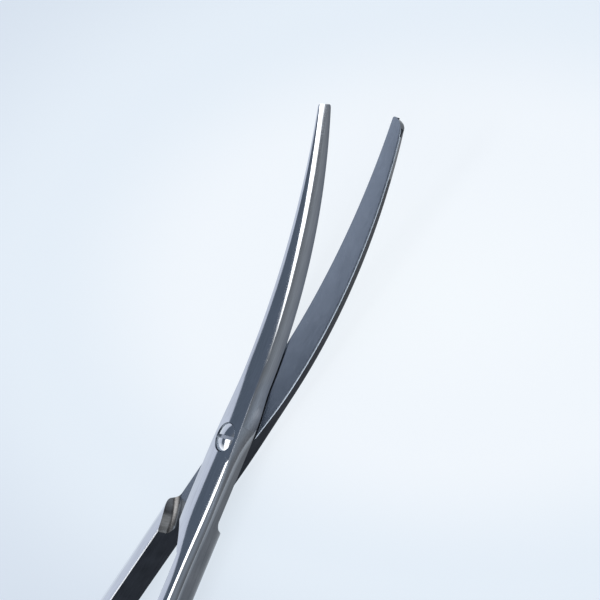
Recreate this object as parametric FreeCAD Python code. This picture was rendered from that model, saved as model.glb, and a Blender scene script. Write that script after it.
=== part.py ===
import FreeCAD, Part
import math
import os

# Curved dissecting scissors: two forged halves that lap at the joint, and one slotted pivot screw.
# X runs across the blades, Y runs from the pivot to the tips, Z is up.
# The scissors lie on their underside at z = 0, half open, with both blades curving upwards.
# The origin is on the pivot axis, in the plane that the scissors lie on.
# Each half is drawn in its own frame first: u along the half from the pivot to its tip,
# v across it towards its cutting edge, and w outwards from the face that rides on the other half.

Vector = FreeCAD.Vector

# Driving dimensions, in millimetres and degrees

# Whole tool
half_opening = 10.1          # each half is turned this far from the middle
blade_length = 47.0          # pivot to tip of the upper half, along the curve
lower_tip_extra = 0.6        # the lower half's blade is this much longer
joint_thickness = 2.2        # one half, at the crown of the joint
rest_flat_depth = 0.08       # ground off the underside where the joint lies on the table
ride_gap = 0.04              # between the two flat joint faces
hollow_gap = 0.12            # between the two curved blade faces, which are ground hollow

# Curve of the blades
curve_start = 6.6
curve_radius = 110.9

# Joint section
joint_edge = 3.55            # pivot axis to the outer side
joint_back = 2.8             # pivot axis to the inner side of the lap
crown_radius = 16.0
crown_shift = (10.0, 20.0)   # behind the pivot, the crown moves over to the middle of the shank
side_top_inset = 0.62        # the barrelled side leans in by this much at the ridge
shank_side_inset = 0.3       # the same behind the joint
far_side_inset = {1: 1.65, -1: 0.62}      # the same on the face away from the half's own side
side_bulge = 0.24
joint_ridge_round = 0.18
back_round = 0.2
joint_front = -8.0           # in front of this the half has only its own side of the lap

# Blade section. Each is (at blade_start, at the tip, how far it bows out between them)
joint_end = -3.0             # the crown and the ridge change from joint to blade from here on
edge_step = (2.5, 8.5)       # the outer side of the joint steps in to the cutting edge between these
blade_start = 11.0
blade_edge = (2.77, 1.0, 1.54)
blade_foot = (3.0, 1.13, 1.3)          # the back, at the ride face
blade_back = (3.15, 1.22, 0.5)         # the back, at its top
blade_back_height = (1.28, 0.66, 0.84)
blade_ridge = (0.78, -0.22, -0.25)
blade_ridge_height = (1.01, 0.56, 0.85)
blade_ridge_round = (0.24, 0.17, 0.1)
blade_side_bulge = 0.015
blade_crown_bulge = 0.1
edge_land = 0.1
heel_width = 0.4             # small bevel along the foot of the back
heel_drop = 0.11
joint_heel_width = 0.04
joint_heel_drop = 0.02
blade_sweep = {1: 0.0, -1: 0.2}        # the middle of the blade bows this far towards its back
tip_edge_radius = 0.4
tip_back_radius = 1.0

# Lap shoulders
shank_inner = 0.2            # pivot axis to the flat inner side of the shank
shoulder_start = {1: -15.0, -1: -17.4}   # inner end of the shoulder wall, upper and lower half
shoulder_rise = 3.7          # the wall climbs this far along u as it crosses the shank
shoulder_bulge = 0.35
shoulder_fillet = 0.9
shoulder_clearance = 1.5     # to the other half's lap when the blades are shut

# Shanks and finger rings
shank_ridge_round = 1.0
shank_ridge_round_at = -24.0
bow_start = -34.0
blade_steps = 7              # stations of the lofts
change_steps = 7
shank_steps = 4
ring_along = -80.0           # ring centre, along u
ring_gap = 0.5               # pivot axis to the nearest side of the ring
ring_inner_width = 21.6
ring_inner_length = 30.0
ring_bar_width = 3.3
ring_bar_height = 4.0
ring_end_radius = 10.2       # of the oval's narrow ends, to the middle of the bar
ring_join_turn = 22.3        # where on the ring's inner side the shank arrives
bow_pull = (14.0, 9.0)
bow_steps = 8
bow_taper_from = 0.8         # share of the bow's length after which it sinks into the ring's bar
bow_end_scale = 0.62

# Pivot screw
head_radius = 1.9
screw_radius = 1.25
thread_radius = 1.1
running_gap = 0.03
seat_start = 0.85            # above the ride face, where the countersink begins
seat_end = 1.8
recess_gap = 0.14
dome_height = 0.42
slot_width = 0.5
slot_depth = 0.62
slot_turn = 11.3

# Values that follow from the dimensions above
mid_height = joint_thickness - rest_flat_depth
ridge_at_joint = joint_edge - side_top_inset
crown_centre = (ridge_at_joint - joint_back) / 2
ring_half_width = (ring_inner_width + ring_bar_width) / 2
ring_half_length = (ring_inner_length + ring_bar_width) / 2
ring_across = ring_gap + ring_bar_width / 2 + ring_half_width
ring_end_offset = ring_half_length - ring_end_radius
ring_side_radius = (ring_end_offset**2 + ring_half_width**2 - ring_end_radius**2) / (
    2 * (ring_half_width - ring_end_radius))
ring_side_offset = ring_side_radius - ring_half_width
shank_middle = (shank_inner + joint_edge) / 2
relief_fall = 2 * shank_inner * shoulder_rise / (joint_edge - shank_inner)
reach = 4 * joint_thickness  # long enough for every cutting tool to pass right through
table_reach = 2 * abs(ring_along)      # the table under the whole half


def eased(s, start, end):
    """A share that rises smoothly from 0 at start to 1 at end."""
    share = min(max((s - start) / (end - start), 0), 1)
    return share * share * (3 - 2 * share)


def crown_height(v, s=0.0):
    """Height of the crowned outer face at v, for a section at s."""
    crest = crown_centre + (shank_middle - crown_centre) * eased(-s, *crown_shift)
    return joint_thickness - crown_radius + math.sqrt(crown_radius**2 - (v - crest)**2)


def arc_depth(chord, radius):
    """How far an arc of this radius stands off its chord."""
    return radius - math.sqrt(radius**2 - chord**2 / 4)


def bulged(start, end, bulge):
    """The arc from start to end that stands off its chord by bulge, on the left-hand side."""
    chord = end - start
    left = Vector(-chord.y, chord.x, 0).normalize()
    return Part.Arc(start, (start + end) / 2 + left * bulge, end)


def near_end(arc, length, at_last):
    """Parameter, point and tangent on an arc, this far along it from one of its ends."""
    first, last = arc.FirstParameter, arc.LastParameter
    step = (last - first) * length / arc.length()
    p = last - step if at_last else first + step
    return p, arc.value(p), Vector(*arc.tangent(p)[0])


def meeting(p, d, q, e):
    """Where the line from p along d meets the line from q along e."""
    return p + d * (((q.x - p.x) * e.y - (q.y - p.y) * e.x) / (d.x * e.y - d.y * e.x))


def outside_of(size):
    """The outer part of a section as a chain of pieces, from the edge over the ridge to the back."""
    edge_top = Vector(size["edge"], edge_land, 0)
    ridge = Vector(size["ridge"], size["top"], 0)
    back = Vector(-size["back"], size["back_top"], 0)
    heel_out = Vector(-size["foot"] - size["heel_out"], 0, 0)
    down = (heel_out - back).normalize()
    side = bulged(edge_top, ridge, -size["side_bulge"])
    crown = bulged(ridge, back, -size["crown_bulge"])
    p, ridge_in, d = near_end(side, size["round"], True)
    q, ridge_out, e = near_end(crown, size["round"], False)
    r, back_in, f = near_end(crown, back_round, True)
    back_out = back + down * back_round
    side_middle = side.value((side.FirstParameter + p) / 2)
    crown_middle = crown.value((q + r) / 2)
    return [
        (edge_top, side_middle, ridge_in, "arc"),
        (ridge_in, meeting(ridge_in, d, ridge_out, e), ridge_out, "curve"),
        (ridge_out, crown_middle, back_in, "arc"),
        (back_in, meeting(back_in, f, back_out, down), back_out, "curve"),
    ]


def straight(start, end):
    return (start, (start + end) / 2, end, "line")


def lap_section(size, low):
    """One side of the lap: flat ride face at w = low, the cutting edge or side, ridge, crown and back."""
    chain = outside_of(size)
    heel = Vector(-size["foot"], low, 0)
    heel_out = Vector(-size["foot"] - size["heel_out"], low + size["heel_drop"], 0)
    toe = Vector(size["edge"], low, 0)
    return [straight(heel, toe), straight(toe, chain[0][0])] + chain + [
        straight(chain[-1][2], heel_out), straight(heel_out, heel)]


def mirrored(chain):
    """The same pieces on the other side of w = 0, in reverse order."""
    flip = [tuple(Vector(p.x, -p.y, 0) for p in piece[:3]) + (piece[3],) for piece in chain]
    return [(c, b, a, kind) for a, b, c, kind in reversed(flip)]


def full_section(own, far):
    """A section of full thickness, from the sizes of the half's own face and of the far one."""
    chain, lower = outside_of(own), mirrored(outside_of(far))
    return chain + [straight(chain[-1][2], lower[0][0])] + lower + [straight(lower[-1][2], chain[0][0])]


def joint_size(s=0.0, far_inset=None):
    """Sizes of the joint section. Down the shank the ridge of the half's own face moves out."""
    crown_at, inset = 0, far_inset
    if far_inset is None:
        crown_at = s
        inset = side_top_inset + (shank_side_inset - side_top_inset) * eased(-s, 0, -joint_front)
    growth = min(max(s, shank_ridge_round_at) / shank_ridge_round_at, 1)
    ridge = joint_edge - inset
    top, back_top = crown_height(ridge, crown_at), crown_height(-joint_back, crown_at)
    chord = math.hypot(ridge + joint_back, top - back_top)
    return {"edge": joint_edge, "foot": joint_back - joint_heel_width, "heel_out": joint_heel_width,
            "heel_drop": joint_heel_drop, "back": joint_back, "back_top": back_top,
            "ridge": ridge, "top": top, "side_bulge": side_bulge,
            "crown_bulge": arc_depth(chord, crown_radius),
            "round": joint_ridge_round + (shank_ridge_round - joint_ridge_round) * growth}


def along_blade(sizes, t):
    """A size that changes evenly along the blade, with a bow between."""
    start, end, bow = sizes
    return start + (end - start) * t + bow * t * (1 - t)


def blade_size(t):
    """Sizes of the blade section, a share t of the way from blade_start to the tip."""
    return {"edge": along_blade(blade_edge, t), "foot": along_blade(blade_foot, t),
            "heel_out": heel_width, "heel_drop": heel_drop,
            "back": along_blade(blade_back, t), "back_top": along_blade(blade_back_height, t),
            "ridge": along_blade(blade_ridge, t), "top": along_blade(blade_ridge_height, t),
            "side_bulge": blade_side_bulge, "crown_bulge": blade_crown_bulge,
            "round": along_blade(blade_ridge_round, t)}


def size_at(s):
    """Section sizes at the distance s in front of the pivot, with an even change from joint to blade."""
    plain = joint_size(s)
    blade = blade_size(max(s - blade_start, 0) / (blade_length - blade_start))
    share = {key: eased(s, joint_end, blade_start) for key in plain}
    share["edge"] = eased(s, *edge_step)
    return {key: plain[key] + (blade[key] - plain[key]) * share[key] for key in plain}


def ride_level(s):
    """How far a half's ride face lies from the middle surface. The blades are ground hollow."""
    share = min(max(s, 0) / blade_start, 1)
    return (ride_gap + (hollow_gap - ride_gap) * share) / 2


def on_curve(s, side):
    """The frame of a station on the curved middle surface: its origin, and the directions of v and w."""
    turn = max(s - curve_start, 0) / curve_radius
    along = min(s, curve_start) + curve_radius * math.sin(turn)
    t = max(s - blade_start, 0) / (blade_length - blade_start)
    sweep = 4 * blade_sweep[side] * max(t * (1 - t), 0)
    origin = Vector(-side * sweep, along, curve_radius * (1 - math.cos(turn)))
    return origin, Vector(side, 0, 0), Vector(0, -math.sin(turn), math.cos(turn)) * side


def tip_at(side):
    """Distance of the half's tip from the pivot, along the curve."""
    return blade_length if side > 0 else blade_length + lower_tip_extra


def plan(side, v, u):
    """A point of a half's plan."""
    return Vector(side * v, u, 0)


def wire_at(section, frame):
    """A closed wire through a section's pieces, set in a station's frame."""
    origin, across, outward = frame

    def put(p):
        return origin + across * p.x + outward * p.y

    edges = []
    for start, middle, end, kind in section:
        if kind == "line":
            edges.append(Part.LineSegment(put(start), put(end)).toShape())
        elif kind == "arc":
            edges.append(Part.Arc(put(start), put(middle), put(end)).toShape())
        else:
            curve = Part.BezierCurve()
            curve.setPoles([put(start), put(middle), put(end)])
            edges.append(curve.toShape())
    return Part.Wire(edges)


def lap_and_blade(side):
    """The half's own side of the lap, and its blade, as one loft along the curve."""
    blade = [blade_start + (tip_at(side) - blade_start) * i / blade_steps for i in range(blade_steps + 1)]
    change = [joint_end + (blade_start - joint_end) * i / change_steps for i in range(change_steps)]
    stations = [joint_front] + change + blade
    wires = [wire_at(lap_section(size_at(s), ride_level(s)), on_curve(s, side)) for s in stations]
    return Part.makeLoft(wires, True, False)


def tip_cutter(side):
    """What rounds both corners of the blade's end, seen from above."""
    size = blade_size(1)
    end = on_curve(tip_at(side), side)[0].y
    low, deep = Vector(0, 0, -reach), 4 * reach
    right = size["edge"] - tip_edge_radius
    left = tip_back_radius - size["foot"] - size["heel_out"]
    cutter = Part.makeBox(2 * reach, reach, deep, Vector(-reach, end, -reach))
    for v, radius, far in ((right, tip_edge_radius, reach), (left, tip_back_radius, -reach)):
        place = Vector(min(side * v, side * far), end - radius, -reach)
        corner = Part.makeBox(abs(far - v), radius, deep, place)
        corner = corner.cut(Part.makeCylinder(radius, deep, plan(side, v, end - radius) + low))
        cutter = cutter.fuse(corner)
    return cutter


def shoulder_line(start):
    """The shoulder wall in plan as (v, u): inner end, middle and outer end."""
    width = joint_edge - shank_inner
    length = math.hypot(width, shoulder_rise)
    middle = (shank_inner + width / 2 - shoulder_bulge * shoulder_rise / length,
              start + shoulder_rise / 2 + shoulder_bulge * width / length)
    return (shank_inner, start), middle, (joint_edge, start + shoulder_rise)


def prism(side, outline, low, high):
    """An upright prism. The first three points of the outline lie on an arc, the rest are corners."""
    points = [plan(side, v, u) for v, u in outline]
    corners = [points[0]] + points[2:]
    edges = [Part.Arc(*points[:3]).toShape()]
    for start, end in zip(corners[1:], corners[2:] + corners[:1]):
        edges.append(Part.LineSegment(start, end).toShape())
    face = Part.Face(Part.Wire(edges))
    face.translate(Vector(0, 0, low))
    return face.extrude(Vector(0, 0, high - low))


def lap_recess(side):
    """The milled recess that takes the other half: a slanted wall with a rounded root."""
    inner, middle, outer = shoulder_line(shoulder_start[side])
    outline = [inner, middle, outer, (reach, outer[1] + shoulder_rise), (reach, reach), (-reach, reach),
               (-reach, bow_start), (shank_inner, bow_start)]
    level = ride_level(joint_front) * side
    block = prism(side, outline, *sorted((level, -side * reach)))
    root = [e for e in block.Edges if e.Curve.TypeId == "Part::GeomCircle"
            and all(abs(v.Z - level) < 1e-6 for v in e.Vertexes)]
    return block.makeFillet(shoulder_fillet, root)


def inner_relief(side):
    """What is cut away inside the shank, up to the slanted end of the lap.

    The end of the lap follows the other half's shoulder wall, at the clearance that it has when shut."""
    inner, middle, outer = [(-v, u + shoulder_clearance) for v, u in shoulder_line(shoulder_start[-side])]
    outline = [inner, middle, outer, (-reach, outer[1]), (-reach, bow_start), (shank_inner, bow_start),
               (shank_inner, inner[1] - relief_fall)]
    return prism(side, outline, -reach, reach)


def inner_corner(side, face):
    """What rounds the shank's inner long edge, on the half's own face (1) or the far one (-1)."""
    front = shoulder_start[side] + 2 * back_round
    size = bow_size(1, far_side_inset[side])
    if face > 0:
        front = shoulder_start[-side] + shoulder_clearance - relief_fall
        size = bow_size(1)
    curve = outside_of(size)[-1]
    start, end = curve[0], curve[2]
    low = end - Vector(back_round, 0, 0)
    high = Vector(low.x, start.y + back_round, 0)
    last = Vector(start.x, high.y, 0)
    section = [curve, straight(end, low), straight(low, high), straight(high, last), straight(last, start)]
    frame = (plan(side, shank_middle, bow_start), Vector(side, 0, 0), Vector(0, 0, side))
    wire = wire_at(section if face > 0 else mirrored(section), frame)
    return Part.Face(wire).extrude(Vector(0, front - bow_start, 0))


def shank_stock(side):
    """The straight shank and the rear of the joint at full thickness, as wide as the lap."""
    step = (shank_ridge_round_at - joint_front) / shank_steps
    stations = [joint_front + step * i for i in range(shank_steps + 1)] + [bow_start]
    wires = []
    for s in stations:
        section = full_section(joint_size(s), joint_size(s, far_side_inset[side]))
        wires.append(wire_at(section, on_curve(s, side)))
    return Part.makeLoft(wires, True, False)


def bow_size(scale, far_inset=None):
    """Sizes of the shank's section about its own middle, with a flat inner side."""
    plain = joint_size(bow_start, far_inset)
    half_width = (joint_edge - shank_inner) / 2
    ridge = plain["ridge"] - shank_middle
    back_top = crown_height(shank_inner, bow_start if far_inset is None else 0)
    chord = math.hypot(ridge + half_width, plain["top"] - back_top)
    size = dict(plain, edge=half_width, back=half_width, foot=half_width - joint_heel_width, ridge=ridge,
                back_top=back_top, crown_bulge=arc_depth(chord, crown_radius))
    return {key: value * scale for key, value in size.items()}


def ring_join():
    """Place and downward direction where the shank meets the ring's middle line, in plan."""
    turn = math.radians(ring_join_turn)
    way = (-math.sin(turn), -math.cos(turn))
    place = (ring_across + ring_side_offset + ring_side_radius * way[1], ring_along - ring_side_radius * way[0])
    return place, way


def bow(side):
    """The bowed part of the shank, which runs into the inner side of the finger ring."""
    end, way = ring_join()
    line = Part.BezierCurve()
    line.setPoles([plan(1, shank_middle, bow_start), plan(1, shank_middle, bow_start - bow_pull[0]),
                   plan(1, end[0] - way[0] * bow_pull[1], end[1] - way[1] * bow_pull[1]), plan(1, *end)])
    wires = []
    for i in range(bow_steps + 1):
        t = i / bow_steps
        sink = max(t - bow_taper_from, 0) / (1 - bow_taper_from)
        point, down = line.value(t), Vector(*line.tangent(t)[0])
        frame = (plan(side, point.x, point.y), Vector(-down.y * side, down.x, 0), Vector(0, 0, side))
        scale = 1 - (1 - bow_end_scale) * sink
        section = full_section(bow_size(scale), bow_size(scale, far_side_inset[side]))
        wires.append(wire_at(section, frame))
    return Part.makeLoft(wires, True, False)


def ring_arc(side, centre, radius, start, end):
    """A stretch of the finger ring: an elliptical bar turned about an upright axis, in degrees."""
    axis = plan(side, ring_across, ring_along) + centre
    middle = axis + Vector(radius, 0, 0)
    bar = Part.Ellipse(middle + Vector(0, 0, ring_bar_height / 2), middle + Vector(ring_bar_width / 2, 0, 0), middle)
    face = Part.Face(Part.Wire(bar.toShape()))
    face.rotate(axis, Vector(0, 0, 1), start)
    return face.revolve(axis, Vector(0, 0, 1), end - start)


def finger_ring(side):
    """The oval finger ring: four arcs that run smoothly into each other."""
    corner = math.degrees(math.atan2(ring_end_offset, ring_side_offset))
    across, along = Vector(ring_side_offset, 0, 0), Vector(0, ring_end_offset, 0)
    right = ring_arc(side, -across, ring_side_radius, -corner, corner)
    front = ring_arc(side, along, ring_end_radius, corner, 180 - corner)
    left = ring_arc(side, across, ring_side_radius, 180 - corner, 180 + corner)
    rear = ring_arc(side, -along, ring_end_radius, 180 + corner, 360 - corner)
    return right.fuse([front, left, rear])


def pivot_hole(side):
    """What the pivot screw needs: a countersunk clearance hole above, a plain threaded hole below."""
    down, up = Vector(0, 0, -reach), Vector(0, 0, 1)
    if side < 0:
        return Part.makeCylinder(thread_radius, 2 * reach, down)
    shank = Part.makeCylinder(screw_radius + running_gap, 2 * reach, down)
    seat = Part.makeCone(screw_radius + running_gap, head_radius + recess_gap, seat_end - seat_start, up * seat_start)
    recess = Part.makeCylinder(head_radius + recess_gap, reach, up * seat_end)
    return shank.fuse([seat, recess])


def half(side):
    """One forged half, about its own axis, with its ride face at the middle height."""
    stock = shank_stock(side).cut(inner_relief(side)).cut(lap_recess(side))
    stock = stock.cut(inner_corner(side, 1)).cut(inner_corner(side, -1))
    blade = lap_and_blade(side).cut(tip_cutter(side)).cut(pivot_hole(side))
    table = Part.makeBox(2 * table_reach, 2 * table_reach, reach,
                         Vector(-table_reach, -table_reach, -mid_height - reach))
    body = stock.fuse(bow(side)).fuse(blade).cut(table).fuse(finger_ring(side))
    body.rotate(Vector(0, 0, 0), Vector(0, 0, 1), side * half_opening)
    body.translate(Vector(0, 0, mid_height))
    return body


def pivot_screw():
    """The oval-headed slotted screw. Its shoulder seats on the lower half, and its thread ends flush."""
    up = Vector(0, 0, 1)
    seat = -ride_gap / 2
    thread = Part.makeCylinder(thread_radius, mid_height + seat, up * -mid_height)
    shoulder = Part.makeCylinder(screw_radius, seat_start - seat, up * seat)
    cone_height = (seat_end - seat_start) * (head_radius - screw_radius) / (
        head_radius + recess_gap - screw_radius - running_gap)
    cone = Part.makeCone(screw_radius, head_radius, cone_height, up * seat_start)
    rim = seat_start + cone_height
    dome_radius = (head_radius**2 + dome_height**2) / (2 * dome_height)
    dome = Part.makeSphere(dome_radius, up * (rim + dome_height - dome_radius))
    dome = dome.common(Part.makeCylinder(head_radius, dome_height, up * rim))
    top = rim + dome_height
    slot = Part.makeBox(4 * head_radius, slot_width, slot_depth + dome_height,
                        Vector(-2 * head_radius, -slot_width / 2, top - slot_depth))
    slot.rotate(Vector(0, 0, 0), up, slot_turn + half_opening)
    screw = thread.fuse([shoulder, cone, dome]).cut(slot).removeSplitter()
    screw.translate(up * mid_height)
    return screw


def main():
    os.makedirs("parts", exist_ok=True)
    pieces = {"upper_half": half(1), "lower_half": half(-1), "pivot_screw": pivot_screw()}
    for name, shape in pieces.items():
        shape.exportStep(os.path.join("parts", name + ".step"))
        box = shape.BoundBox
        print(name, "solids", len(shape.Solids), "valid", shape.isValid(), "volume", round(shape.Volume, 2),
              "size", [round(d, 2) for d in (box.XLength, box.YLength, box.ZLength)])


main()
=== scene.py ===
import bpy
import bmesh
import math
from mathutils import Matrix, Vector


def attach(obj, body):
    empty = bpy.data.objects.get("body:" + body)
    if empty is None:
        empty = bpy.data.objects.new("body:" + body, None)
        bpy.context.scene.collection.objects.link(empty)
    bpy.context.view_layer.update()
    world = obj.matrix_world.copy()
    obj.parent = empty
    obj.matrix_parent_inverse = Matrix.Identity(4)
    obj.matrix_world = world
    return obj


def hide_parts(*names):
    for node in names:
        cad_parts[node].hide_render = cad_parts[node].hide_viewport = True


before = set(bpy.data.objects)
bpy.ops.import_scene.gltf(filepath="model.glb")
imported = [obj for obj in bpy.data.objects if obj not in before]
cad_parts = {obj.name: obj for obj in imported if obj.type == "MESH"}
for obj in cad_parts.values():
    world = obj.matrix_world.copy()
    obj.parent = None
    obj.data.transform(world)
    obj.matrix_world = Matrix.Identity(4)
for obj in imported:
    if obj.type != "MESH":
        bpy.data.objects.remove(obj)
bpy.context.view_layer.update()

# Sizes in millimetres and turns in degrees. They are those of the solids, apart from the four that say so.

MM = 0.001

# Whole tool
half_opening = 10.1          # each half is turned this far from the middle
blade_length = 47.0          # pivot to tip of the upper half, along the curve
lower_tip_extra = 0.6        # the lower half's blade is this much longer
joint_thickness = 2.2        # one half, at the crown of the joint
rest_flat_depth = 0.08       # ground off the underside where the joint lies on the table
ride_gap = 0.04              # between the two flat joint faces
hollow_gap = 0.12            # between the two curved blade faces, which are ground hollow

# Curve of the blades
curve_start = 6.6
curve_radius = 110.9

# Joint section
joint_edge = 3.55            # pivot axis to the outer side
joint_back = 2.8             # pivot axis to the inner side of the lap
crown_radius = 16.0
crown_shift = (10.0, 20.0)   # behind the pivot, the crown moves over to the middle of the shank
side_top_inset = 0.62        # the barrelled side leans in by this much at the ridge
shank_side_inset = 0.3       # the same behind the joint
far_side_inset = {1: 1.65, -1: 0.62}      # the same on the face away from the half's own side
side_bulge = 0.24
joint_ridge_round = 0.18
back_round = 0.2
joint_front = -8.0           # in front of this the half has only its own side of the lap

# Blade section. Each is (at blade_start, at the tip, how far it bows out between them)
joint_end = -3.0             # the crown and the ridge change from joint to blade from here on
edge_step = (2.5, 8.5)       # the outer side of the joint steps in to the cutting edge between these
blade_start = 11.0
blade_edge = (2.77, 1.0, 1.54)
blade_foot = (3.0, 1.13, 1.3)          # the back, at the ride face
blade_back = (3.15, 1.22, 0.5)         # the back, at its top
blade_back_height = (1.28, 0.66, 0.84)
blade_ridge = (0.78, -0.22, -0.25)
blade_ridge_height = (1.01, 0.56, 0.85)
blade_ridge_round = (0.5, 0.5, 0.3)    # softer than on the solids
blade_side_bulge = 0.015
blade_crown_bulge = 0.1
edge_land = 0.1
heel_width = 0.4             # small bevel along the foot of the back
heel_drop = 0.11
joint_heel_width = 0.04
joint_heel_drop = 0.02
blade_sweep = {1: 0.0, -1: 0.2}        # the middle of the blade bows this far towards its back
tip_edge_radius = 0.4
tip_back_radius = 1.6        # rounder than on the solids

# Lap shoulders
shank_inner = 0.2            # pivot axis to the flat inner side of the shank
shoulder_start = {1: -15.0, -1: -17.4}   # inner end of the shoulder wall, upper and lower half
shoulder_rise = 3.7          # the wall climbs this far along u as it crosses the shank
shoulder_bulge = 0.35
shoulder_fillet = 0.9
shoulder_clearance = 1.5     # to the other half's lap when the blades are shut

# Shanks and finger rings
shank_ridge_round = 1.25     # softer than on the solids
shank_ridge_round_at = -24.0
bow_start = -34.0
ring_along = -80.0           # ring centre, along u
ring_gap = 0.5               # pivot axis to the nearest side of the ring
ring_inner_width = 21.6
ring_inner_length = 30.0
ring_bar_width = 3.3
ring_bar_height = 4.0
ring_end_radius = 10.2       # of the oval's narrow ends, to the middle of the bar
ring_join_turn = 22.3        # where on the ring's inner side the shank arrives
bow_pull = (14.0, 9.0)
bow_taper_from = 0.8         # share of the bow's length after which it sinks into the ring's bar
bow_end_scale = 0.62

# Pivot screw
head_radius = 1.9
screw_radius = 1.25
thread_radius = 1.1
running_gap = 0.03
seat_start = 0.85            # above the ride face, where the countersink begins
seat_end = 1.8
recess_gap = 0.14
dome_height = 0.42
head_rise = 0.16             # the dome stands higher than on the solids by this much
slot_width = 0.5
slot_depth = 0.62
slot_turn = 11.3
slot_edge_width = 0.045      # how far the slot's edges are broken
screw_sides = 160
hole_sides = 96

# How finely the meshes are cut
side_points, ridge_points, crown_points, back_points = 12, 14, 36, 8     # steps around a section
shank_step, blade_step = 0.8, 0.4                                        # between sections
bow_steps, ring_arc_steps, ring_bar_sides = 90, 44, 40
corner_steps, shoulder_steps, fillet_steps, tip_steps, dome_steps = 8, 16, 10, 16, 40
merge_distance, sliver_length = 0.002, 0.001
crisp_angle = 22             # an edge that turns by more than this stays crisp
screw_crisp_angle = 30
slot_edge_angle = 40

# Where each finish goes
ground_from = -19.0          # the inner face is ground flat from here to the tip
shoulder_to = -9.0
ridge_highlight_from, ridge_highlight_to, ridge_highlight_fade = -13.0, 9.0, 4.0      # the part of the joint's ridge where a pale highlight is painted
ridge_highlight_reach = 0.16            # to each side of the ridge
bevel_from = 2.0             # the blade's bevel is told from its crown from here on

# Values that follow from the sizes above
mid_height = joint_thickness - rest_flat_depth
ridge_at_joint = joint_edge - side_top_inset
crown_centre = (ridge_at_joint - joint_back) / 2
ring_half_width = (ring_inner_width + ring_bar_width) / 2
ring_half_length = (ring_inner_length + ring_bar_width) / 2
ring_across = ring_gap + ring_bar_width / 2 + ring_half_width
ring_end_offset = ring_half_length - ring_end_radius
ring_side_radius = (ring_end_offset**2 + ring_half_width**2 - ring_end_radius**2) / (
    2 * (ring_half_width - ring_end_radius))
ring_side_offset = ring_side_radius - ring_half_width
shank_middle = (shank_inner + joint_edge) / 2
relief_fall = 2 * shank_inner * shoulder_rise / (joint_edge - shank_inner)
reach = 4 * joint_thickness  # long enough for every cut to pass right through
square = ((-1, -1), (1, -1), (1, 1), (-1, 1))


# Sections, as in the model: v across towards the cutting edge, w outwards from the ride face

def eased(s, start, end):
    """A share that rises smoothly from 0 at start to 1 at end."""
    share = min(max((s - start) / (end - start), 0), 1)
    return share * share * (3 - 2 * share)


def crown_height(v, s):
    """Height of the crowned outer face at v, for a section at s."""
    crest = crown_centre + (shank_middle - crown_centre) * eased(-s, *crown_shift)
    return joint_thickness - crown_radius + math.sqrt(crown_radius**2 - (v - crest)**2)


def arc_depth(chord, radius):
    """How far an arc of this radius stands off its chord."""
    return radius - math.sqrt(radius**2 - chord**2 / 4)


def arc_points(start, end, bulge, count):
    """Points on the arc from start to end that stands off its chord by bulge, on the left-hand side."""
    chord = end - start
    half = chord.length / 2
    left = Vector((-chord.y, chord.x)).normalized()
    if abs(bulge) < 1e-6:
        return [start.lerp(end, i / count) for i in range(count + 1)]
    radius = (half * half + bulge * bulge) / (2 * abs(bulge))
    sign = 1 if bulge > 0 else -1
    centre = (start + end) / 2 + left * sign * (abs(bulge) - radius)
    sweep = math.asin(min(half / radius, 1))
    out = []
    for i in range(count + 1):
        a = -sweep + 2 * sweep * i / count
        out.append(centre + left * sign * radius * math.cos(a) + chord.normalized() * radius * math.sin(a))
    return out


def trimmed(points, length, at_last):
    """The chain of points less this length at one end, and the direction there."""
    chain = points[::-1] if at_last else points
    total = sum((b - a).length for a, b in zip(points, points[1:]))
    step = total / (len(points) - 1)
    n = int(length // step)
    a, b = chain[n], chain[n + 1]
    cut = a.lerp(b, (length - n * step) / step)
    rest = [cut] + chain[n + 1:]
    way = (b - a).normalized()
    return (rest[::-1] if at_last else rest), (-way if at_last else way)


def resampled(points, count):
    """The same chain with this many equal steps."""
    lengths = [0.0]
    for a, b in zip(points, points[1:]):
        lengths.append(lengths[-1] + (b - a).length)
    out = []
    k = 0
    for i in range(count + 1):
        d = lengths[-1] * i / count
        while k < len(lengths) - 2 and lengths[k + 1] < d:
            k += 1
        span = lengths[k + 1] - lengths[k]
        out.append(points[k].lerp(points[k + 1], (d - lengths[k]) / span))
    return out


def rounded(p, d, q, e, count):
    """The quadratic curve from p, leaving along d, to q, arriving along e."""
    cross = d.x * e.y - d.y * e.x
    m = (p + q) / 2
    if abs(cross) > 0.05:
        m = p + d * ((q.x - p.x) * e.y - (q.y - p.y) * e.x) / cross
    return [p * (1 - k)**2 + m * 2 * k * (1 - k) + q * k * k for k in (i / count for i in range(count + 1))]


def outside_of(size):
    """Outer part of a section, from the edge over the ridge to the back."""
    fine = 200
    edge_top = Vector((size["edge"], edge_land))
    ridge = Vector((size["ridge"], size["top"]))
    back = Vector((-size["back"], size["back_top"]))
    down = (Vector((-size["foot"] - size["heel_out"], 0)) - back).normalized()
    side = arc_points(edge_top, ridge, -size["side_bulge"], fine)
    crown = arc_points(ridge, back, -size["crown_bulge"], 2 * fine)
    side, d = trimmed(side, size["round"], True)
    crown, e = trimmed(crown, size["round"], False)
    crown, f = trimmed(crown, back_round, True)
    back_out = back + down * back_round
    first = resampled(side, side_points)
    second = rounded(side[-1], d, crown[0], e, ridge_points)
    third = resampled(crown, crown_points)
    fourth = rounded(crown[-1], f, back_out, down, back_points)
    return first + second[1:] + third[1:] + fourth[1:]


def lap_section(size, low):
    """Section of one side of the lap or of the blade, down to the ride face."""
    heel_out = Vector((-size["foot"] - size["heel_out"], low + size["heel_drop"]))
    return [Vector((-size["foot"], low)), Vector((size["edge"], low))] + outside_of(size) + [heel_out]


def full_section(own, far):
    """Section through the whole thickness, with the far face upside down."""
    return outside_of(own) + [Vector((p.x, -p.y)) for p in reversed(outside_of(far))]


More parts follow.
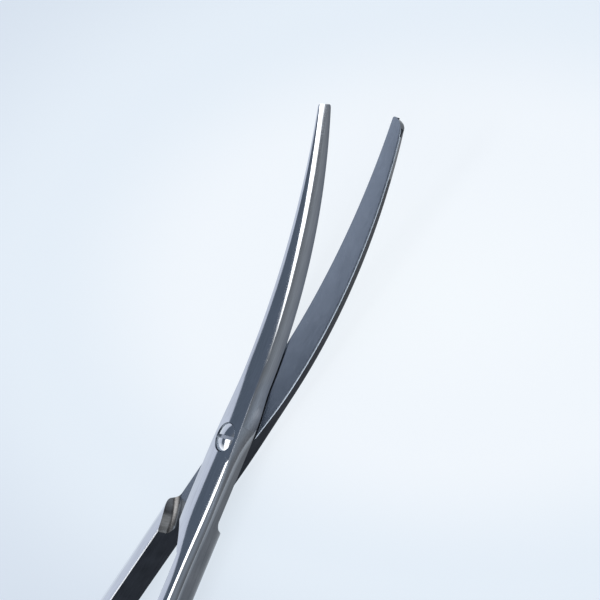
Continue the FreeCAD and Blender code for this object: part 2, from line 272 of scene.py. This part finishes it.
def joint_size(s, far_inset=None):
    """Sizes of the joint's or shank's section, on its own face or, with far_inset, on the other one."""
    crown_at, inset = 0, far_inset
    if far_inset is None:
        crown_at = s
        inset = side_top_inset + (shank_side_inset - side_top_inset) * eased(-s, 0, -joint_front)
    growth = min(max(s, shank_ridge_round_at) / shank_ridge_round_at, 1)
    ridge = joint_edge - inset
    top, back_top = crown_height(ridge, crown_at), crown_height(-joint_back, crown_at)
    chord = math.hypot(ridge + joint_back, top - back_top)
    return {"edge": joint_edge, "foot": joint_back - joint_heel_width,
            "heel_out": joint_heel_width, "heel_drop": joint_heel_drop,
            "back": joint_back, "back_top": back_top, "ridge": ridge, "top": top,
            "side_bulge": side_bulge, "crown_bulge": arc_depth(chord, crown_radius),
            "round": joint_ridge_round + (shank_ridge_round - joint_ridge_round) * growth}


def along_blade(sizes, t):
    start, end, bow = sizes
    return start + (end - start) * t + bow * t * (1 - t)


def blade_size(t):
    return {"edge": along_blade(blade_edge, t), "foot": along_blade(blade_foot, t),
            "heel_out": heel_width, "heel_drop": heel_drop,
            "back": along_blade(blade_back, t), "back_top": along_blade(blade_back_height, t),
            "ridge": along_blade(blade_ridge, t), "top": along_blade(blade_ridge_height, t),
            "side_bulge": blade_side_bulge, "crown_bulge": blade_crown_bulge,
            "round": along_blade(blade_ridge_round, t)}


def size_at(s):
    plain = joint_size(s)
    blade = blade_size(max(s - blade_start, 0) / (blade_length - blade_start))
    share = {key: eased(s, joint_end, blade_start) for key in plain}
    share["edge"] = eased(s, *edge_step)
    return {key: plain[key] + (blade[key] - plain[key]) * share[key] for key in plain}


def ride_level(s):
    """How far the ride face lies from the middle plane or the middle curve."""
    share = min(max(s, 0) / blade_start, 1)
    return (ride_gap + (hollow_gap - ride_gap) * share) / 2


def on_curve(s, side):
    """Origin, direction across and direction outwards of the section at s."""
    turn = max(s - curve_start, 0) / curve_radius
    along = min(s, curve_start) + curve_radius * math.sin(turn)
    t = max(s - blade_start, 0) / (blade_length - blade_start)
    sweep = 4 * blade_sweep[side] * max(t * (1 - t), 0)
    origin = Vector((-side * sweep, along, curve_radius * (1 - math.cos(turn))))
    return origin, Vector((side, 0, 0)), Vector((0, -math.sin(turn), math.cos(turn))) * side


# Mesh tools. Everything is made about the half's own axis, in metres, and turned into place at the end.

def make_object(name, verts, faces):
    mesh = bpy.data.meshes.new(name)
    mesh.from_pydata([tuple(v * MM) for v in verts], [], faces)
    mesh.validate()
    bm = bmesh.new()
    bm.from_mesh(mesh)
    bmesh.ops.recalc_face_normals(bm, faces=bm.faces)
    bm.to_mesh(mesh)
    bm.free()
    piece = bpy.data.objects.new(name, mesh)
    bpy.context.scene.collection.objects.link(piece)
    return piece


def loft(name, rings, closed=False):
    """Quads between closed rings of points, with a face over each end, or joined end to start."""
    n = len(rings[0])
    verts = [v for ring in rings for v in ring]
    faces = []
    last = len(rings) if closed else len(rings) - 1
    for j in range(last):
        a, b = j * n, ((j + 1) % len(rings)) * n
        for i in range(n):
            k = (i + 1) % n
            faces.append((a + i, a + k, b + k, b + i))
    if not closed:
        faces.append(tuple(range(n)))
        faces.append(tuple(range(len(verts) - n, len(verts))))
    return make_object(name, verts, faces)


def in_frame(section, place):
    """The points of a section at its place on the half."""
    origin, across, outward = place
    return [origin + across * p.x + outward * p.y for p in section]


def steps(start, end, size):
    """Even steps of about this size, both ends included."""
    count = max(1, round(abs(end - start) / size))
    return [start + (end - start) * i / count for i in range(count + 1)]


def plan(side, v, u, z=0.0):
    """The point at v across and u along the half of this side."""
    return Vector((side * v, u, z))


def prism(name, outline, low, high):
    """An upright prism over a list of plan points."""
    return loft(name, [[Vector((p.x, p.y, z)) for p in outline] for z in (low, high)])


def lathe(name, profile, count):
    """A solid turned about the z axis from (radius, height) points, the first and last on the axis."""
    verts = [Vector((0, 0, profile[0][1])), Vector((0, 0, profile[-1][1]))]
    rings = profile[1:-1]
    for r, z in rings:
        for i in range(count):
            a = 2 * math.pi * i / count
            verts.append(Vector((r * math.cos(a), r * math.sin(a), z)))
    faces = []
    for i in range(count):
        k = (i + 1) % count
        faces.append((0, 2 + k, 2 + i))
        end = 2 + (len(rings) - 1) * count
        faces.append((1, end + i, end + k))
        for j in range(len(rings) - 1):
            a, b = 2 + j * count, 2 + (j + 1) * count
            faces.append((a + i, a + k, b + k, b + i))
    return make_object(name, verts, faces)


def combine(piece, other, operation):
    """The boolean result of two pieces in the first one. The second is removed."""
    mod = piece.modifiers.new("combine", "BOOLEAN")
    mod.operation = operation
    mod.solver = "EXACT"
    mod.object = other
    done = bpy.data.meshes.new_from_object(piece.evaluated_get(bpy.context.evaluated_depsgraph_get()))
    piece.modifiers.clear()
    piece.data = done
    bpy.data.objects.remove(other)


def shoulder_points(start):
    """The shoulder wall in plan, as (v, u) from its inner to its outer end."""
    inner, outer = Vector((shank_inner, start)), Vector((joint_edge, start + shoulder_rise))
    return arc_points(inner, outer, shoulder_bulge, shoulder_steps)


def lap_recess(side):
    """The recess for the other half: slanted wall, rounded root and flat floor."""
    wall = shoulder_points(shoulder_start[side])
    level = ride_level(joint_front) * side
    rings = []
    for i in range(fillet_steps + 1):
        turn = math.pi / 2 * i / fillet_steps
        inset = shoulder_fillet * (1 - math.sin(turn))
        depth = shoulder_fillet * (1 - math.cos(turn))
        rings.append((inset, level - side * depth))
    rings.append((0.0, -side * reach))
    out = []
    for inset, z in rings:
        ring = []
        for i, p in enumerate(wall):
            a, b = wall[max(i - 1, 0)], wall[min(i + 1, len(wall) - 1)]
            d = (b - a).normalized()
            q = p + Vector((-d.y, d.x)) * inset
            ring.append(plan(side, q.x, q.y, z))
        far = wall[-1].y + shoulder_rise + inset
        ring += [plan(side, reach, far, z), plan(side, reach, reach, z), plan(side, -reach, reach, z),
                 plan(side, -reach, bow_start - 1, z), plan(side, shank_inner - inset, bow_start - 1, z)]
        out.append(ring)
    return loft("recess", out)


def inner_relief(side):
    """What frees the inner side of the shank, from the other half's lap to the bow."""
    other = [Vector((-p.x, p.y + shoulder_clearance)) for p in shoulder_points(shoulder_start[-side])]
    outline = [plan(side, p.x, p.y) for p in other]
    outline += [plan(side, -reach, other[-1].y), plan(side, -reach, bow_start - 1),
                plan(side, shank_inner, bow_start - 1), plan(side, shank_inner, other[0].y - relief_fall)]
    return prism("relief", outline, -reach, reach)


def bow_size(scale, far_inset=None):
    """Sizes of the bow's section, which is the shank's about its own middle."""
    plain = joint_size(bow_start, far_inset)
    half_width = (joint_edge - shank_inner) / 2
    ridge = plain["ridge"] - shank_middle
    back_top = crown_height(shank_inner, bow_start if far_inset is None else 0)
    chord = math.hypot(ridge + half_width, plain["top"] - back_top)
    size = dict(plain, edge=half_width, back=half_width, foot=half_width - joint_heel_width, ridge=ridge,
                back_top=back_top, crown_bulge=arc_depth(chord, crown_radius))
    return {key: value * scale for key, value in size.items()}


def ring_join():
    """Where the bow meets the ring, and the direction that it arrives in."""
    turn = math.radians(ring_join_turn)
    way = Vector((-math.sin(turn), -math.cos(turn)))
    place = Vector((ring_across + ring_side_offset + ring_side_radius * way.y,
                    ring_along - ring_side_radius * way.x))
    return place, way


def bow(side):
    """The swept end of the shank, from bow_start into the ring."""
    end, way = ring_join()
    a, b = Vector((shank_middle, bow_start)), Vector((shank_middle, bow_start - bow_pull[0]))
    c = end - way * bow_pull[1]
    rings = []
    for i in range(bow_steps + 1):
        t = i / bow_steps
        point = a * (1 - t)**3 + b * 3 * t * (1 - t)**2 + c * 3 * t * t * (1 - t) + end * t**3
        down = ((b - a) * (1 - t)**2 + (c - b) * 2 * t * (1 - t) + (end - c) * t * t).normalized()
        sink = max(t - bow_taper_from, 0) / (1 - bow_taper_from)
        place = (plan(side, point.x, point.y), Vector((-down.y * side, down.x, 0)), Vector((0, 0, side)))
        scale = 1 - (1 - bow_end_scale) * sink
        section = full_section(bow_size(scale), bow_size(scale, far_side_inset[side]))
        rings.append(in_frame(section, place))
    return loft("bow", rings)


def finger_ring(side):
    """The oval ring: four arcs that run smoothly into each other, and an elliptical bar."""
    corner = math.atan2(ring_end_offset, ring_side_offset)
    across, along = Vector((ring_side_offset, 0)), Vector((0, ring_end_offset))
    arcs = ((-across, ring_side_radius, -corner, corner),
            (along, ring_end_radius, corner, math.pi - corner),
            (across, ring_side_radius, math.pi - corner, math.pi + corner),
            (-along, ring_end_radius, math.pi + corner, 2 * math.pi - corner))
    rings = []
    for centre, radius, start, end in arcs:
        for j in range(ring_arc_steps):
            angle = start + (end - start) * j / ring_arc_steps
            out = Vector((math.cos(angle), math.sin(angle)))
            middle = Vector((ring_across, ring_along)) + centre + out * radius
            ring = []
            for a in (2 * math.pi * i / ring_bar_sides for i in range(ring_bar_sides)):
                p = middle + out * (ring_bar_width / 2 * math.cos(a))
                ring.append(plan(side, p.x, p.y, ring_bar_height / 2 * math.sin(a)))
            rings.append(ring)
    return loft("ring", rings, closed=True)


def inner_corner(side, face):
    """What rounds the shank's inner long edge, on the half's own face (1) or the far one (-1)."""
    r = back_round
    top = crown_height(shank_inner, bow_start if face > 0 else 0)
    corner = [Vector((shank_inner - 1, top + 1)), Vector((shank_inner - 1, top - r))]
    corner += [Vector((shank_inner + r - r * math.cos(a), top - r + r * math.sin(a)))
               for a in (math.pi / 2 * i / corner_steps for i in range(corner_steps + 1))]
    corner += [Vector((shank_inner + r, top + 1))]
    front = shoulder_start[side] + 4 * r
    if face > 0:
        front = shoulder_start[-side] + shoulder_clearance - relief_fall
    z = side * face
    return loft("corner", [[plan(side, p.x, u, p.y * z) for p in corner] for u in (bow_start - 1, front)])


def tip_at(side):
    """Length of this half's blade, along its curve."""
    return blade_length if side > 0 else blade_length + lower_tip_extra


def tip_cutters(side):
    """What rounds the edge corner and the back corner of the blade's end."""
    size = blade_size(1)
    end = on_curve(tip_at(side), side)[0].y
    for limit, r, way in ((size["edge"], tip_edge_radius, 1),
                          (-size["foot"] - size["heel_out"], tip_back_radius, -1)):
        v, u = limit - way * r, end - r
        outline = [Vector((v + way * r * math.cos(a), u + r * math.sin(a)))
                   for a in (math.pi / 2 * i / tip_steps for i in range(tip_steps + 1))]
        outline += [Vector((v, u + 2 * r)), Vector((v + way * 2 * r, u + 2 * r)),
                    Vector((v + way * 2 * r, u))]
        yield prism("tip", [plan(side, p.x, p.y) for p in outline], -reach, 4 * reach)


def pivot_hole(side):
    """The countersunk hole of the upper half, or the plain one of the lower half."""
    if side < 0:
        return lathe("hole", [(0, -reach), (thread_radius, -reach), (thread_radius, reach), (0, reach)],
                     hole_sides)
    shank, recess = screw_radius + running_gap, head_radius + recess_gap
    return lathe("hole", [(0, -reach), (shank, -reach), (shank, seat_start), (recess, seat_end),
                          (recess, reach), (0, reach)], hole_sides)


def half(name, side):
    """One whole half: shank, lap recess, bow, ring and blade, cut level where it lies on the table."""
    rings = [in_frame(full_section(joint_size(s), joint_size(s, far_side_inset[side])), on_curve(s, side))
             for s in steps(joint_front, bow_start, shank_step)]
    stock = loft(name, rings)
    for face in (1, -1):
        combine(stock, inner_corner(side, face), "DIFFERENCE")
    combine(stock, inner_relief(side), "DIFFERENCE")
    combine(stock, lap_recess(side), "DIFFERENCE")
    combine(stock, bow(side), "UNION")
    combine(stock, finger_ring(side), "UNION")
    rings = [in_frame(lap_section(size_at(s), ride_level(s)), on_curve(s, side))
             for s in steps(joint_front, tip_at(side), blade_step)]
    blade = loft("blade", rings)
    for cutter in tip_cutters(side):
        combine(blade, cutter, "DIFFERENCE")
    combine(blade, pivot_hole(side), "DIFFERENCE")
    combine(stock, blade, "UNION")
    table = prism("table", [Vector((x * 20 * reach, y * 20 * reach, 0)) for x, y in square],
                  -mid_height - reach, -mid_height)
    combine(stock, table, "DIFFERENCE")
    return stock


def pivot_screw():
    """The oval-headed screw, with a slot whose edges are lightly broken."""
    seat = -ride_gap / 2
    rim = seat_start + (seat_end - seat_start) * (head_radius - screw_radius) / (
        head_radius + recess_gap - screw_radius - running_gap)
    dome_radius = (head_radius**2 + dome_height**2) / (2 * dome_height)
    low = rim + dome_height - dome_radius + head_rise
    top = rim + head_rise + dome_height
    dome = [(head_radius, rim)]
    for i in range(dome_steps):
        r = head_radius * (1 - i / dome_steps)
        dome.append((r, low + math.sqrt(dome_radius**2 - r * r)))
    shaft = [(0, -mid_height), (thread_radius, -mid_height), (thread_radius, seat), (screw_radius, seat),
             (screw_radius, seat_start)]
    screw = lathe("pivot_screw_turned", shaft + dome + [(0, top)], screw_sides)
    angle = math.radians(slot_turn + half_opening)
    way, out = Vector((math.cos(angle), math.sin(angle))), Vector((-math.sin(angle), math.cos(angle)))
    outline = [way * a * 2 * head_radius + out * b * slot_width / 2 for a, b in square]
    combine(screw, prism("slot", outline, top - slot_depth, top + 1), "DIFFERENCE")
    for face in screw.data.polygons:
        face.use_smooth = True
    screw.data.transform(Matrix.Translation((0, 0, mid_height * MM)))
    screw.data.set_sharp_from_angle(angle=math.radians(screw_crisp_angle))
    broken = screw.modifiers.new("broken_edges", "BEVEL")
    broken.width = slot_edge_width * MM
    broken.segments = 3
    broken.angle_limit = math.radians(slot_edge_angle)
    weighted = screw.modifiers.new("weighted", "WEIGHTED_NORMAL")
    weighted.keep_sharp = True
    return screw


# Places of the finishes in each half's list of materials
OUTSIDE, GROUND, INNER_SIDE_PAINTED_DARK, SHOULDER = range(4)


def paint_faces(piece, side, materials):
    """Gives each face the finish of its place: outside, ride face, inner side of the shank with its painted
    dark reflection, or shoulder.
    """
    mesh = piece.data
    mesh.materials.clear()
    for material in materials:
        mesh.materials.append(material)
    for poly in mesh.polygons:
        n, c = poly.normal, poly.center / MM
        v, u = c.x * side, c.y
        turn = math.asin(max(u - curve_start, 0) / curve_radius)
        ride = Vector((0, -math.sin(turn), math.cos(turn))) * -side
        on_curve_face = abs(c.z - curve_radius * (1 - math.cos(turn))) < 0.2
        on_shank_side = v < shank_inner + 0.05 and bow_start - 1 < u < -10
        poly.material_index = OUTSIDE
        if n.dot(ride) > 0.94 and on_curve_face and u > ground_from:
            poly.material_index = GROUND
        # The inner sides get a near-black finish: a painted dark reflection.
        elif n.x * side < -0.85 and (u > joint_front or on_shank_side):
            poly.material_index = INNER_SIDE_PAINTED_DARK
        elif ground_from < u < shoulder_to and n.y > 0.3 and c.z * side < -0.01:
            poly.material_index = SHOULDER
        # The walls of the screw's recess get the darker satin finish: painted shade in the recess in place
        # of a bright ring.
        elif abs(n.z) < 0.9 and c.xy.length < head_radius + 2 * recess_gap:
            poly.material_index = GROUND


def finish_mesh(piece, side):
    """Smooth faces with crisp corners, turned and lifted into the row frame."""
    bm = bmesh.new()
    bm.from_mesh(piece.data)
    bmesh.ops.remove_doubles(bm, verts=bm.verts, dist=merge_distance * MM)
    bmesh.ops.dissolve_degenerate(bm, edges=bm.edges, dist=sliver_length * MM)
    for face in bm.faces:
        face.smooth = True
    for edge in bm.edges:
        edge.smooth = len(edge.link_faces) == 2 and edge.calc_face_angle(0) < math.radians(crisp_angle)
    bm.to_mesh(piece.data)
    bm.free()
    note_places(piece, side)
    turn = Matrix.Rotation(math.radians(side * half_opening), 4, "Z")
    piece.data.transform(Matrix.Translation((0, 0, mid_height * MM)) @ turn)
    weighted = piece.modifiers.new("weighted", "WEIGHTED_NORMAL")
    weighted.keep_sharp = True


# Finishes

def note_places(piece, side):
    """Tells every vertex its place on its half (v across, s along, w out), how far it is from the ridge to
    the cutting edge, and how much of the painted highlight along the joint's ridge it gets.
    """
    mesh = piece.data
    places, shares, painted_ridge_highlight = [], [], []
    for vertex in mesh.vertices:
        p = vertex.co / MM
        turn = math.asin(min(max(p.y - curve_start, 0) / curve_radius, 1))
        along = min(p.y, curve_start) + curve_radius * turn
        places += [p.x * side, along, (p.z - curve_radius * (1 - math.cos(turn))) * side]
        size = size_at(min(along, blade_length))
        beside = p.x * side - size["ridge"]
        shares.append(beside / (size["edge"] - size["ridge"]) if along > bevel_from else -1.0)
        ridge_highlight_share = 0.0
        if ridge_highlight_from < along < ridge_highlight_to and p.z * side > 0.7:
            ridge_highlight_share = max(0.0, 1 - abs(beside) / ridge_highlight_reach)
        ridge_highlight_share *= eased(along, ridge_highlight_from, ridge_highlight_from + ridge_highlight_fade)
        painted_ridge_highlight.append(ridge_highlight_share * (1 - eased(along, ridge_highlight_to - ridge_highlight_fade, ridge_highlight_to)))
    mesh.attributes.new("grain", "FLOAT_VECTOR", "POINT").data.foreach_set("vector", places)
    mesh.attributes.new("bevel", "FLOAT", "POINT").data.foreach_set("value", shares)
    mesh.attributes.new("painted_ridge_highlight", "FLOAT", "POINT").data.foreach_set("value", painted_ridge_highlight)


class Nodes:
    """Short calls for the nodes of one material or world."""

    def __init__(self, tree):
        self.tree = tree

    def add(self, kind, values=(), **settings):
        node = self.tree.nodes.new("ShaderNode" + kind)
        for key, value in settings.items():
            setattr(node, key, value)
        for key, value in dict(values).items():
            if isinstance(value, bpy.types.NodeSocket):
                self.tree.links.new(value, node.inputs[key])
            else:
                node.inputs[key].default_value = value
        return node

    def math(self, operation, a, b=0.0, c=0.5):
        values = {0: a, 1: b, 2: c} if operation == "MULTIPLY_ADD" else {0: a, 1: b}
        return self.add("Math", values, operation=operation).outputs[0]

    def vector(self, operation, a, b=(0, 0, 0)):
        return self.add("VectorMath", {0: a, 1: b}, operation=operation)

    def ramp(self, value, stops, smooth="LINEAR"):
        node = self.add("ValToRGB", {0: value})
        ramp = node.color_ramp
        ramp.interpolation = smooth
        while len(ramp.elements) < len(stops):
            ramp.elements.new(0.5)
        for element, stop in zip(ramp.elements, stops):
            element.position = stop[0]
        for element, stop in zip(ramp.elements, stops):
            color = stop[1] if isinstance(stop[1], tuple) else (stop[1],) * 3
            element.color = (*color, 1)
        return node.outputs["Color"]

    def noise(self, place, scale, detail):
        stretched = self.vector("MULTIPLY", place, scale).outputs[0]
        return self.add("TexNoise", {"Vector": stretched, "Scale": 1.0, "Detail": detail}).outputs["Fac"]

    def mix(self, factor, a, b, blend="MIX"):
        node = self.add("Mix", {0: factor}, data_type="RGBA", blend_type=blend)
        for key, value in (("A", a), ("B", b)):
            socket = [item for item in node.inputs if item.name == key and item.type == "RGBA"][0]
            if isinstance(value, bpy.types.NodeSocket):
                self.tree.links.new(value, socket)
            else:
                socket.default_value = (*value, 1)
        return [item for item in node.outputs if item.type == "RGBA"][0]


def new_material(name, color, roughness, metallic=1.0):
    material = bpy.data.materials.new(name)
    material.use_nodes = True
    shader = material.node_tree.nodes["Principled BSDF"]
    shader.inputs["Base Color"].default_value = (*color, 1)
    shader.inputs["Roughness"].default_value = roughness
    shader.inputs["Metallic"].default_value = metallic
    return material, Nodes(material.node_tree), shader


def finish(nodes, shader, color, roughness, height, depth):
    """Connects a colour, a roughness and a height field of this depth in mm."""
    nodes.tree.links.new(color, shader.inputs["Base Color"])
    nodes.tree.links.new(roughness, shader.inputs["Roughness"])
    bump = nodes.add("Bump", {"Height": height, "Strength": 1.0, "Distance": depth * MM})
    nodes.tree.links.new(bump.outputs[0], shader.inputs["Normal"])


def polished_steel():
    """Polish on the faces that look up or down, and lengthwise grinding on the steeper ones, whose colour is
    painted dark as shade; painted light and dark bands across the blade's bevel, and a painted highlight
    along the joint's ridge.
    """
    material, nodes, shader = new_material("polished_steel", (0.78, 0.8, 0.83), 0.06)
    place = nodes.add("Attribute", attribute_name="grain").outputs["Vector"]
    bevel = nodes.add("Attribute", attribute_name="bevel").outputs["Fac"]
    normal = nodes.add("TexCoord").outputs["Normal"]
    upright = nodes.add("SeparateXYZ", {0: normal}).outputs["Z"]
    flat = nodes.ramp(nodes.math("MULTIPLY_ADD", upright, 0.5),
                      [(0.0, 1.0), (0.03, 1.0), (0.1, 0.0), (0.55, 0.0), (0.9, 1.0), (1.0, 1.0)])
    streaks = nodes.noise(place, (9.0, 0.25, 9.0), 5.0)
    clouds = nodes.noise(place, (0.6, 0.3, 0.6), 3.0)
    specks = nodes.noise(place, (7.0, 7.0, 7.0), 2.0)
    # Painted shade: faces that stand steeply get a dark colour in place of the dark reflections on the
    # sides; faces that look up or down get a pale one.
    color = nodes.mix(flat, (0.135, 0.14, 0.15), (0.79, 0.81, 0.84))
    # Painted reflection: lighter and darker, warmer and cooler bands across the blade's bevel, from the
    # ridge to the cutting edge.
    across = nodes.ramp(bevel, [(0.0, (1.0, 1.0, 1.0)), (0.06, (0.8, 0.79, 0.78)),
                                (0.25, (0.86, 0.87, 0.88)), (0.52, (1.18, 1.19, 1.2)),
                                (0.78, (1.0, 1.0, 1.02)), (0.95, (0.78, 0.8, 0.85))])
    color = nodes.mix(1.0, color, across, "MULTIPLY")
    lines = nodes.ramp(streaks, [(0.3, 0.84), (0.5, 1.0), (0.72, 1.12)])
    color = nodes.mix(nodes.ramp(flat, [(0.0, 1.0), (1.0, 0.6)]), color,
                      nodes.mix(1.0, color, lines, "MULTIPLY"))
    dust = nodes.ramp(specks, [(0.66, 0.0), (0.72, 1.0)])
    color = nodes.mix(nodes.math("MULTIPLY", dust, 0.16), color, (0.25, 0.26, 0.3))
    color = nodes.mix(nodes.ramp(clouds, [(0.35, 0.0), (0.75, 0.12)]), color, (0.42, 0.4, 0.4))
    # Painted highlight: a pale bluish line along the joint's ridge; the steel there is also rougher.
    ridge_highlight_share = nodes.math("MULTIPLY", nodes.add("Attribute", attribute_name="painted_ridge_highlight").outputs["Fac"], 0.9)
    color = nodes.mix(ridge_highlight_share, color, (0.8, 0.84, 0.9))
    rough = nodes.math("MULTIPLY", streaks, 0.06)
    rough = nodes.math("ADD", nodes.ramp(flat, [(0.0, 0.2), (1.0, 0.03)]), rough)
    rough = nodes.math("MAXIMUM", rough, nodes.math("MULTIPLY", ridge_highlight_share, 0.45))
    height = nodes.math("ADD", streaks, nodes.math("MULTIPLY", dust, -0.3))
    finish(nodes, shader, color, rough, height, 0.0012)
    return material


def ground_steel(name, dark, light, roughness, scale, speck):
    """A duller ground face: fine lengthwise lines, cloudy tone, small specks."""
    material, nodes, shader = new_material(name, light, roughness)
    place = nodes.add("Attribute", attribute_name="grain").outputs["Vector"]
    lines = nodes.noise(place, scale, 5.0)
    clouds = nodes.noise(place, (0.45, 0.3, 0.45), 4.0)
    specks = nodes.noise(place, (4.5, 4.5, 4.5), 3.0)
    tone = nodes.math("ADD", nodes.math("MULTIPLY", lines, 0.45), nodes.math("MULTIPLY", clouds, 0.55))
    color = nodes.ramp(tone, [(0.3, dark), (0.7, light)])
    color = nodes.mix(nodes.ramp(specks, [(0.64, 0.0), (0.7, 0.35)]), color, speck)
    rough = nodes.math("MULTIPLY", tone, 0.12)
    rough = nodes.math("ADD", rough, roughness - 0.06)
    finish(nodes, shader, color, rough, lines, 0.0015)
    return material


finishes = [
    polished_steel(),
    ground_steel("satin_steel", dark=(0.25, 0.285, 0.33), light=(0.33, 0.37, 0.425), roughness=0.24,
                 scale=(5.0, 1.2, 5.0), speck=(0.2, 0.19, 0.18)),
    # Painted dark reflection: the inner sides are given a near-black colour.
    ground_steel("inner_side_painted_dark", dark=(0.016, 0.018, 0.022), light=(0.036, 0.039, 0.047), roughness=0.25,
                 scale=(6.0, 0.4, 6.0), speck=(0.05, 0.05, 0.055)),
    ground_steel("shoulder_steel", dark=(0.16, 0.15, 0.14), light=(0.42, 0.41, 0.4), roughness=0.3,
                 scale=(7.0, 7.0, 0.5), speck=(0.2, 0.19, 0.18)),
]
screw_steel = ground_steel("screw_steel", dark=(0.7, 0.72, 0.75), light=(0.82, 0.84, 0.87), roughness=0.1,
                           scale=(3.0, 3.0, 3.0), speck=(0.5, 0.5, 0.5))

for name, side, body in (("upper_half", 1, "upper"), ("lower_half", -1, "lower")):
    piece = half(name + "_forging", side)
    paint_faces(piece, side, finishes)
    finish_mesh(piece, side)
    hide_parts(name)
    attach(piece, body)

screw = pivot_screw()
screw.data.materials.append(screw_steel)
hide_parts("pivot_screw")
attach(screw, "lower")


# Floor, light and camera

right = Vector((0.4646122, 0.47147788, -0.74956261))
up = Vector((-0.33312106, 0.87735207, 0.34537473))
back = Vector((0.82046685, 0.08922978, 0.56468769))
eye = Vector((0.086322, 0.030355, 0.061153 + mid_height * MM))
sensor_width = 36            # millimetres
picture_width = 600          # pixels
focal_pixels = 799.68
floor_reach = 3000           # millimetres
glow_strength, glow_share = 1.05, 0.8

# A pool of light is painted on the floor: it is a little paler in an oval about the line of sight.
pool_right, pool_up, pool_stretch = 0.172, 0.0125, 1.45
floor_mat, nodes, shader = new_material("floor_paper", (0.9, 0.94, 0.98), 0.9, 0.0)
spot = nodes.add("TexCoord").outputs["Object"]
beam = nodes.vector("NORMALIZE", nodes.vector("SUBTRACT", spot, tuple(eye)).outputs[0]).outputs[0]
wide = nodes.math("SUBTRACT", nodes.vector("DOT_PRODUCT", beam, tuple(right)).outputs["Value"], pool_right)
wide = nodes.math("DIVIDE", wide, pool_stretch)
tall = nodes.math("SUBTRACT", nodes.vector("DOT_PRODUCT", beam, tuple(up)).outputs["Value"], pool_up)
squares = nodes.math("ADD", nodes.math("MULTIPLY", wide, wide), nodes.math("MULTIPLY", tall, tall))
# Painted pool of light: the floor's colour falls off away from the line of sight.
painted_light_pool = nodes.ramp(nodes.math("SQRT", squares),
                  [(0.0, (0.905, 0.947, 0.982)), (0.2, (0.88, 0.925, 0.972)), (0.34, (0.785, 0.857, 0.932)),
                   (0.5, (0.68, 0.753, 0.847))], "EASE")
nodes.tree.links.new(painted_light_pool, shader.inputs["Base Color"])
path = nodes.add("LightPath").outputs
seen = nodes.math("MAXIMUM", nodes.math("MAXIMUM", path["Is Camera Ray"], path["Is Glossy Ray"]),
                  path["Is Transmission Ray"])
glow = nodes.add("Emission", {"Color": painted_light_pool, "Strength": glow_strength}).outputs[0]
mixed = nodes.add("MixShader", {0: nodes.math("MULTIPLY", seen, glow_share), 1: shader.outputs[0], 2: glow})
nodes.tree.links.new(mixed.outputs[0], nodes.tree.nodes["Material Output"].inputs["Surface"])
floor = make_object("floor", [Vector((x * floor_reach, y * floor_reach, 0)) for x, y in square],
                    [(0, 1, 2, 3)])
floor.data.materials.append(floor_mat)

# The studio around it: greys that change with the turn about the y axis, from +x (0) over the top to
# -x (1), a white strip whose upper limit falls towards +y, pale walls at both ends, and a light grey
# at the horizon and below.
world = bpy.data.worlds.new("studio")
bpy.context.scene.world = world
world.use_nodes = True
world.node_tree.nodes.clear()
nodes = Nodes(world.node_tree)
way = nodes.add("SeparateXYZ", {0: nodes.add("TexCoord").outputs["Generated"]}).outputs
turn = nodes.math("DIVIDE", nodes.math("ARCTAN2", way["Z"], way["X"]), math.pi)
around = nodes.ramp(turn, [(0.0, (0.2, 0.21, 0.23)), (0.3, (0.22, 0.25, 0.29)), (0.48, (0.19, 0.215, 0.25)),
                           (0.555, (0.19, 0.205, 0.225)), (0.64, (0.1, 0.125, 0.17)),
                           (0.807, (0.09, 0.115, 0.155)), (0.811, (0.58, 0.63, 0.75)),
                           (1.0, (0.72, 0.78, 0.87))])
limit = nodes.math("MINIMUM", nodes.math("MULTIPLY_ADD", way["Y"], -1.11, 0.421), 0.7)
upper = nodes.ramp(nodes.math("SUBTRACT", limit, turn), [(0.0, 0.0), (0.007, 1.0)])
strip = nodes.math("MULTIPLY", upper, nodes.ramp(turn, [(0.578, 0.0), (0.584, 1.0)]))
around = nodes.mix(strip, around, (2.6, 2.65, 2.7))
lean = nodes.math("MULTIPLY_ADD", way["Y"], 0.5)
ends = nodes.ramp(lean, [(0.16, 1.0), (0.26, 0.0), (0.66, 0.0), (0.74, 1.0)])
around = nodes.mix(ends, around, (1.4, 1.43, 1.48))
low = nodes.add("MapRange", {"Value": way["Z"], "From Min": 0.1, "From Max": 0.16}).outputs["Result"]
around = nodes.mix(low, (0.8, 0.87, 0.94), around)
background = nodes.add("Background", {"Color": around})
world_output = nodes.add("OutputWorld")
world.node_tree.links.new(background.outputs[0], world_output.inputs["Surface"])

camera_data = bpy.data.cameras.new("camera")
camera_data.sensor_width = sensor_width
camera_data.lens = focal_pixels * sensor_width / picture_width
camera_data.clip_start = 0.01
camera = bpy.data.objects.new("camera", camera_data)
turned = Matrix((right, up, back)).transposed().to_4x4()
camera.matrix_world = Matrix.Translation(eye) @ turned
bpy.context.scene.collection.objects.link(camera)
bpy.context.scene.camera = camera
bpy.context.scene.view_settings.view_transform = "Standard"
